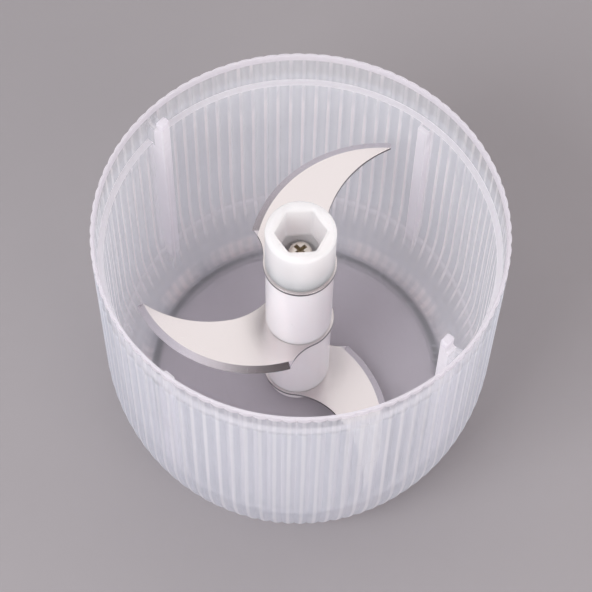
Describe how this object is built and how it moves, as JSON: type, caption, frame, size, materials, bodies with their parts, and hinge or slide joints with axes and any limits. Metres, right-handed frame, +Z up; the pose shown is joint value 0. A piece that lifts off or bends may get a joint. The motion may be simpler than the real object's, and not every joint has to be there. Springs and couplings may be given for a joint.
{
  "type": "chopper bowl with knife",
  "caption": "Open fluted bowl of a small food chopper with a lift-out knife stack that turns on a centre pin; the hub has a hexagonal drive recess.",
  "frame": {"origin": "centre of the base, on the surface it stands on", "axes": "+Z up along the knife's spindle, +Y towards the back of the bowl, +X to the right"},
  "size_m": [0.12, 0.12, 0.098],
  "materials": {
    "bowl_plastic": "milky translucent, satin",
    "ring_rubber": "soft matt",
    "pin_steel": "ground",
    "washer_plastic": "natural acetal",
    "bush_plastic": "natural acetal",
    "core_steel": "drawn",
    "hub_plastic": "white, satin to gloss",
    "blade_steel": "bright rolled, ground edge",
    "screw_steel": "bright nickel"
  },
  "bodies": {
    "bowl": {"bowl": "bowl_plastic", "foot_ring": "ring_rubber", "pivot_pin": "pin_steel"},
    "washer": {"thrust_washer": "washer_plastic"},
    "knife": {"pivot_bush": "bush_plastic", "core_tube": "core_steel", "end_cap": "hub_plastic", "upper_spacer": "hub_plastic", "lower_spacer": "hub_plastic", "drive_socket": "hub_plastic", "upper_blade": "blade_steel", "middle_blade": "blade_steel", "lower_blade": "blade_steel", "clamp_screw": "screw_steel"}
  },
  "joints": [
    {"name": "blade_spin", "type": "hinge", "parent": "bowl", "child": "washer", "pos_m": [0, 0, 0.00565], "axis": [0, 0, 1], "continuous": true},
    {"name": "blade_lift", "type": "slide", "parent": "washer", "child": "knife", "axis": [0, 0, 1], "range_m": [0, 0.12]}
  ]
}
